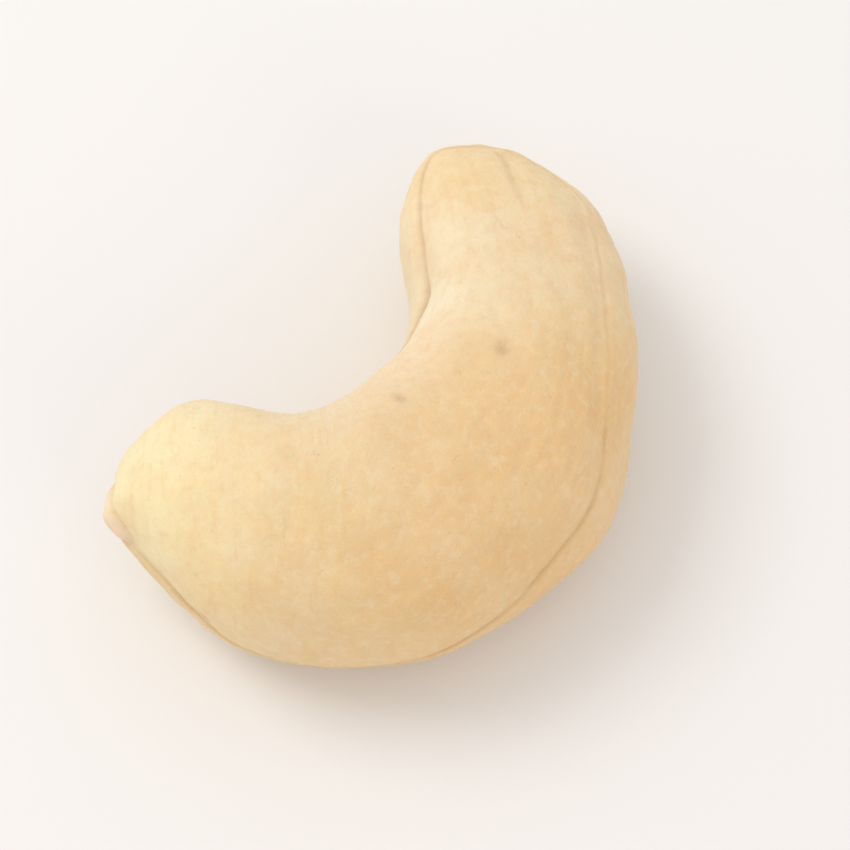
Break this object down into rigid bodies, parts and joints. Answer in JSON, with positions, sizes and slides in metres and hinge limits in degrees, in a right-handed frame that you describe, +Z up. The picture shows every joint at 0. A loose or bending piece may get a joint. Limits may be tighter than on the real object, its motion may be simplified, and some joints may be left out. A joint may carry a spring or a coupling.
{
  "type": "cashew kernel",
  "caption": "Shelled whole cashew kernel, kidney-shaped, lying on its flat side, with the seam between its seed leaves and the germ nub at its blunt end.",
  "frame": {"origin": "centre of the bounding box in X and Y, on the surface that the kernel rests on", "axes": "+X along the kernel from its blunt end to its slim end, +Y to the open side of its bend, +Z up, across its thickness"},
  "size_m": [0.0252, 0.0174, 0.0113],
  "materials": {
    "kernel": "pale cream to tan raw kernel skin, dry and slightly waxy, darker in the seam"
  },
  "bodies": {
    "root": {"cashew_kernel": "kernel"}
  },
  "joints": []
}
